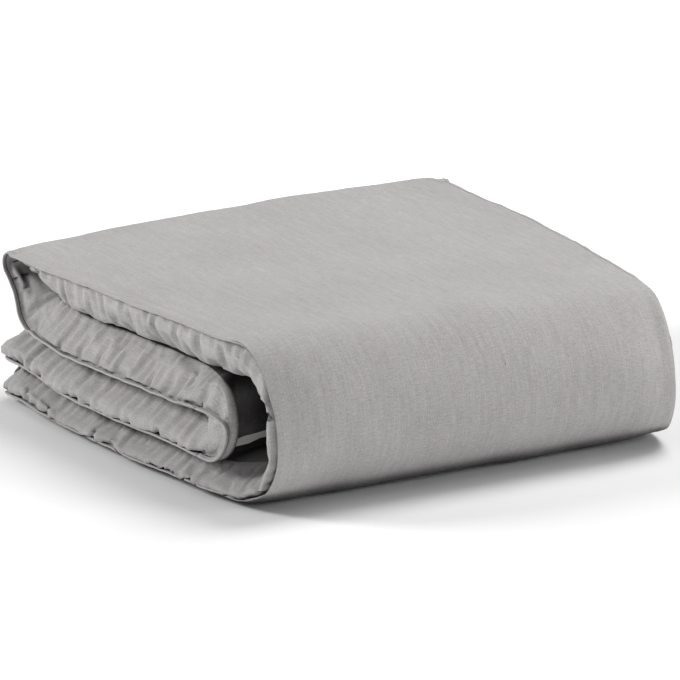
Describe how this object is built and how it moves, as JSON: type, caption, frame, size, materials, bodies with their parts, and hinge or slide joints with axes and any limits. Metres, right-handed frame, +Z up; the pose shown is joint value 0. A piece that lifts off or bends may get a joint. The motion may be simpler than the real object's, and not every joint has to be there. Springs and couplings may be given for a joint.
{
  "type": "folded duvet",
  "caption": "Linen-covered duvet folded in half twice into a thick rectangular stack; its upper half lifts about the inner fold.",
  "frame": {"origin": "centre of the stack's footprint, on the surface it lies on", "axes": "+X from the foot end to the large outer bend, +Y from the near seamed side to the far one, +Z up"},
  "size_m": [0.5, 0.5, 0.1574],
  "materials": {
    "linen": "plain-woven washed linen, mid grey, matt",
    "cotton": "close-woven white cotton, matt",
    "wadding": "soft white fibre filling",
    "button": "satin shell-like",
    "label": "woven tape, blank"
  },
  "bodies": {
    "lower_half": {"outer_panel_bottom_run": "linen", "outer_panel_outer_bend": "linen", "outer_panel_inner_bend": "linen", "outer_panel_third_run": "linen", "inner_panel_bottom_run": "linen", "inner_panel_outer_bend": "linen", "inner_panel_inner_bend": "linen", "inner_panel_third_run": "linen", "insert_shell_bottom_run": "cotton", "insert_shell_outer_bend": "cotton", "insert_shell_inner_bend": "cotton", "insert_shell_third_run": "cotton", "filling_bottom_run": "wadding", "filling_outer_bend": "wadding", "filling_inner_bend": "wadding", "filling_third_run": "wadding", "corner_tie_foot_near": "cotton", "corner_tie_foot_far": "cotton", "corner_tie_head_near": "cotton", "corner_tie_head_far": "cotton", "foot_hem_inner": "linen", "foot_hem_outer": "linen", "button_1": "button", "button_2": "button", "button_3": "button", "care_label": "label"},
    "upper_half": {"outer_panel_upper_half": "linen", "inner_panel_upper_half": "linen", "insert_shell_upper_half": "cotton", "filling_top_run": "wadding", "filling_tip": "wadding", "filling_second_run": "wadding"}
  },
  "joints": [
    {"name": "upper_half_lifts", "type": "hinge", "parent": "lower_half", "child": "upper_half", "pos_m": [0.126, 0, 0.0787], "axis": [0, 1, 0], "range_deg": [0, 45], "deforming": ["outer_panel_outer_bend", "outer_panel_inner_bend", "inner_panel_outer_bend", "inner_panel_inner_bend", "insert_shell_outer_bend", "insert_shell_inner_bend", "filling_outer_bend", "filling_inner_bend"]}
  ]
}
